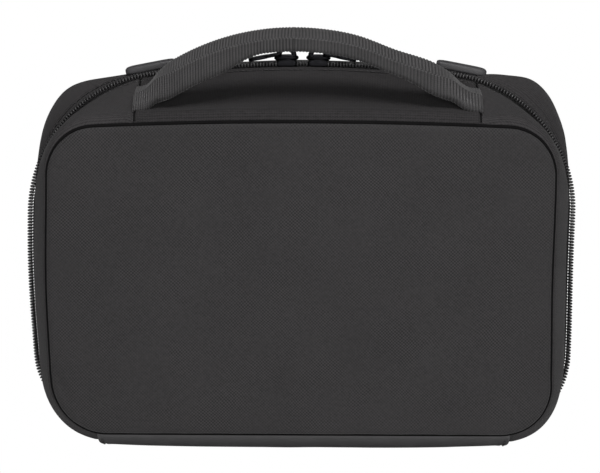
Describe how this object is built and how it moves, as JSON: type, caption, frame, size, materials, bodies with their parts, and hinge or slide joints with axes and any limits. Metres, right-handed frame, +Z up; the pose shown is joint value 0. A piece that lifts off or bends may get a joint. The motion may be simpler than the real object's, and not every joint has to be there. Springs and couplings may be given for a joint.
{
  "type": "miniature carry case",
  "caption": "Soft-sided rectangular clamshell case with a two-way zip, folded webbing handle on top and foam trays inside.",
  "frame": {"origin": "middle of the base, on the surface the case stands on", "axes": "+X across the case, -Y towards the half with the handle, +Z up"},
  "size_m": [0.2708, 0.096, 0.2081],
  "materials": {
    "shell_twill": "black ballistic twill nylon, matte",
    "gusset_weave": "black plain-woven nylon, matte",
    "coated_strip": "smooth coated fabric, satin",
    "webbing": "ribbed nylon webbing",
    "core": "foam cord",
    "board": "polypropylene sheet",
    "zip_tape": "woven polyester tape",
    "zip_coil": "nylon coil, satin",
    "lining": "plain polyester lining",
    "binding": "woven binding tape",
    "foam": "open-cell foam, matte",
    "tab_rubber": "moulded, smooth matte",
    "slider_metal": "black nickel, glossy"
  },
  "bodies": {
    "near_half": {"near_face_panel": "shell_twill", "near_face_board": "board", "near_gusset_top": "gusset_weave", "near_gusset_left": "gusset_weave", "near_gusset_right": "gusset_weave", "near_base_strip": "coated_strip", "near_zip_tape": "zip_tape", "near_zip_coil": "zip_coil", "near_lining_wall": "lining", "near_lining_face": "lining", "near_seam_binding": "binding", "near_foam_floor": "foam", "near_foam_grid": "foam", "handle_end_left": "webbing", "handle_end_right": "webbing"},
    "far_half": {"far_face_panel": "shell_twill", "far_face_board": "board", "far_gusset_top": "gusset_weave", "far_gusset_left": "gusset_weave", "far_gusset_right": "gusset_weave", "far_base_strip": "coated_strip", "far_zip_tape": "zip_tape", "far_zip_coil": "zip_coil", "far_lining_wall": "lining", "far_lining_face": "lining", "far_seam_binding": "binding", "far_foam_floor": "foam", "far_foam_grid": "foam", "tab_left": "tab_rubber", "tab_right": "tab_rubber"},
    "handle": {"handle_webbing": "webbing", "handle_core": "core"},
    "left_slider": {"left_slider_body": "slider_metal", "left_slider_bridge": "slider_metal"},
    "right_slider": {"right_slider_body": "slider_metal", "right_slider_bridge": "slider_metal"},
    "left_puller": {"left_puller": "slider_metal"},
    "right_puller": {"right_puller": "slider_metal"}
  },
  "joints": [
    {"name": "case_opening", "type": "hinge", "parent": "near_half", "child": "far_half", "pos_m": [0, 0, 0], "axis": [-1, 0, 0], "range_deg": [0, 170]},
    {"name": "handle_swing", "type": "hinge", "parent": "near_half", "child": "handle", "pos_m": [0, -0.032, 0.1813], "axis": [1, 0, 0], "range_deg": [-25, 55]},
    {"name": "left_slider_travel", "type": "hinge", "parent": "near_half", "child": "left_slider", "pos_m": [0, 0, -0.335], "axis": [0, -1, 0], "range_deg": [0, 7]},
    {"name": "right_slider_travel", "type": "hinge", "parent": "near_half", "child": "right_slider", "pos_m": [0, 0, -0.335], "axis": [0, 1, 0], "range_deg": [0, 7]},
    {"name": "left_puller_flip", "type": "hinge", "parent": "left_slider", "child": "left_puller", "pos_m": [-0.01067, 0, 0.1893], "axis": [0, 1, 0], "range_deg": [0, 90]},
    {"name": "right_puller_flip", "type": "hinge", "parent": "right_slider", "child": "right_puller", "pos_m": [0.01067, 0, 0.1893], "axis": [0, -1, 0], "range_deg": [0, 90]}
  ]
}
